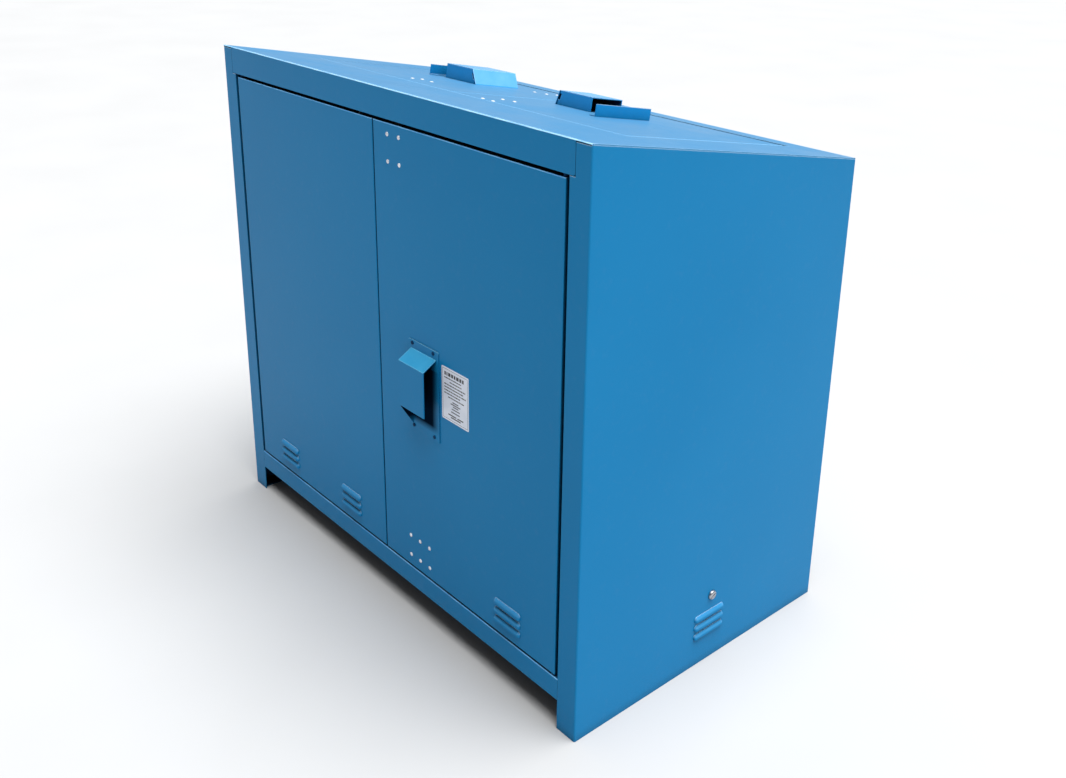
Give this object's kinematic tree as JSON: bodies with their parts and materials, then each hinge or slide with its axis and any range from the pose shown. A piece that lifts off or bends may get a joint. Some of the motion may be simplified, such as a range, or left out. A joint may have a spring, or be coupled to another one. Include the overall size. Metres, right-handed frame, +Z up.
{
  "type": "battery box",
  "caption": "Free-standing sheet-steel outdoor battery cabinet with a sloping roof, front doors with a hooded lock, hinged roof lids with vent hoods, and tiers of batteries inside.",
  "frame": {"origin": "on the ground under the middle of the bounding box", "axes": "+X to the cabinet's right as seen from the front, +Y from the front to the rear, +Z up"},
  "size_m": [1.261, 0.758, 1.1497],
  "materials": {
    "battery_case": "moulded polypropylene, dark grey",
    "black_oxide": "blackened steel, satin",
    "blue_paint": "gloss polyester powder coat, light blue, slight orange peel",
    "bright_rivet": "bright aluminium",
    "copper_link": "tinned copper bar",
    "galvanised": "galvanised sheet, dull",
    "gland_plastic": "moulded nylon, black",
    "label": "silvery printed foil, semi-gloss",
    "lead_terminal": "dull lead alloy",
    "lock_chrome": "polished chrome plate",
    "seal_rubber": "closed-cell foam rubber, matt black",
    "zinc_steel": "zinc plated, satin"
  },
  "bodies": {
    "root": {"back_panel": "blue_paint", "batteries_lower_left": "battery_case", "batteries_lower_right": "battery_case", "batteries_upper_left": "battery_case", "batteries_upper_right": "battery_case", "battery_links": "copper_link", "battery_shelf": "galvanised", "battery_terminals": "lead_terminal", "bottom_front_rail": "blue_paint", "cable_glands": "gland_plastic", "centre_post": "blue_paint", "door_pivot_pins": "black_oxide", "earth_bolt": "zinc_steel", "earth_washer_and_nut": "zinc_steel", "floor_pan": "blue_paint", "floor_runners": "galvanised", "gland_nuts": "gland_plastic", "roof_gutter": "blue_paint", "roof_hinge_leaves": "zinc_steel", "roof_hinge_pins": "zinc_steel", "roof_panel": "blue_paint", "shelf_posts": "galvanised", "side_panel_left": "blue_paint", "side_panel_right": "blue_paint"},
    "door_left": {"door_left": "blue_paint", "door_seal_left": "seal_rubber", "pivot_blocks_left": "zinc_steel", "left_bolt_cases": "zinc_steel"},
    "left_upper_bolt": {"left_upper_bolt": "zinc_steel"},
    "left_lower_bolt": {"left_lower_bolt": "zinc_steel"},
    "door_right": {"door_right": "blue_paint", "door_seal_right": "seal_rubber", "pivot_blocks_right": "zinc_steel", "lock_hood": "blue_paint", "lock_hood_screws": "black_oxide", "lock_body": "lock_chrome", "lock_nut": "zinc_steel", "rod_guides": "zinc_steel", "door_rivets": "bright_rivet", "rating_label": "label"},
    "lock": {"lock_plug": "lock_chrome", "lock_cam": "zinc_steel"},
    "upper_rod": {"upper_latch_rod": "zinc_steel"},
    "lower_rod": {"lower_latch_rod": "zinc_steel"},
    "lid_left": {"roof_lid_left": "blue_paint", "lid_seal_left": "seal_rubber", "vent_hood_left": "blue_paint", "vent_baffle_left": "blue_paint", "vent_screen_left": "galvanised", "lid_brackets_left": "zinc_steel", "lid_rivets_left": "bright_rivet", "lid_hinge_leaves_left": "zinc_steel"},
    "lid_right": {"roof_lid_right": "blue_paint", "lid_seal_right": "seal_rubber", "vent_hood_right": "blue_paint", "vent_baffle_right": "blue_paint", "vent_screen_right": "galvanised", "lid_brackets_right": "zinc_steel", "lid_rivets_right": "bright_rivet", "lid_hinge_leaves_right": "zinc_steel"}
  },
  "joints": [
    {"name": "door_right_hinge", "type": "hinge", "parent": "root", "child": "door_right", "pos_m": [0.557, -0.338, 0.6], "axis": [0, 0, 1], "range_deg": [0, 110]},
    {"name": "door_left_hinge", "type": "hinge", "parent": "root", "child": "door_left", "pos_m": [-0.557, -0.338, 0.6], "axis": [0, 0, -1], "range_deg": [0, 110]},
    {"name": "lock_turn", "type": "hinge", "parent": "door_right", "child": "lock", "pos_m": [0.15, -0.346, 0.565], "axis": [0, 1, 0], "range_deg": [0, 90]},
    {"name": "upper_rod_slide", "type": "slide", "parent": "door_right", "child": "upper_rod", "axis": [0, 0, 1], "range_m": [0, 0.02404]},
    {"name": "lower_rod_slide", "type": "slide", "parent": "door_right", "child": "lower_rod", "axis": [0, 0, -1], "range_m": [0, 0.02405]},
    {"name": "left_upper_bolt_slide", "type": "slide", "parent": "door_left", "child": "left_upper_bolt", "axis": [0, 0, 1], "range_m": [0, 0.022]},
    {"name": "left_lower_bolt_slide", "type": "slide", "parent": "door_left", "child": "left_lower_bolt", "axis": [0, 0, -1], "range_m": [0, 0.022]},
    {"name": "lid_left_hinge", "type": "hinge", "parent": "root", "child": "lid_left", "pos_m": [-0.25, 0.30061, 1.02796], "axis": [-1, 0, 0], "range_deg": [0, 85]},
    {"name": "lid_right_hinge", "type": "hinge", "parent": "root", "child": "lid_right", "pos_m": [0.25, 0.30061, 1.02796], "axis": [-1, 0, 0], "range_deg": [0, 85]}
  ],
  "couplings": [
    {"joint": "lock_turn", "follows": "upper_rod_slide", "rad_per_m": 65.337},
    {"joint": "lower_rod_slide", "follows": "upper_rod_slide", "ratio": 1}
  ]
}
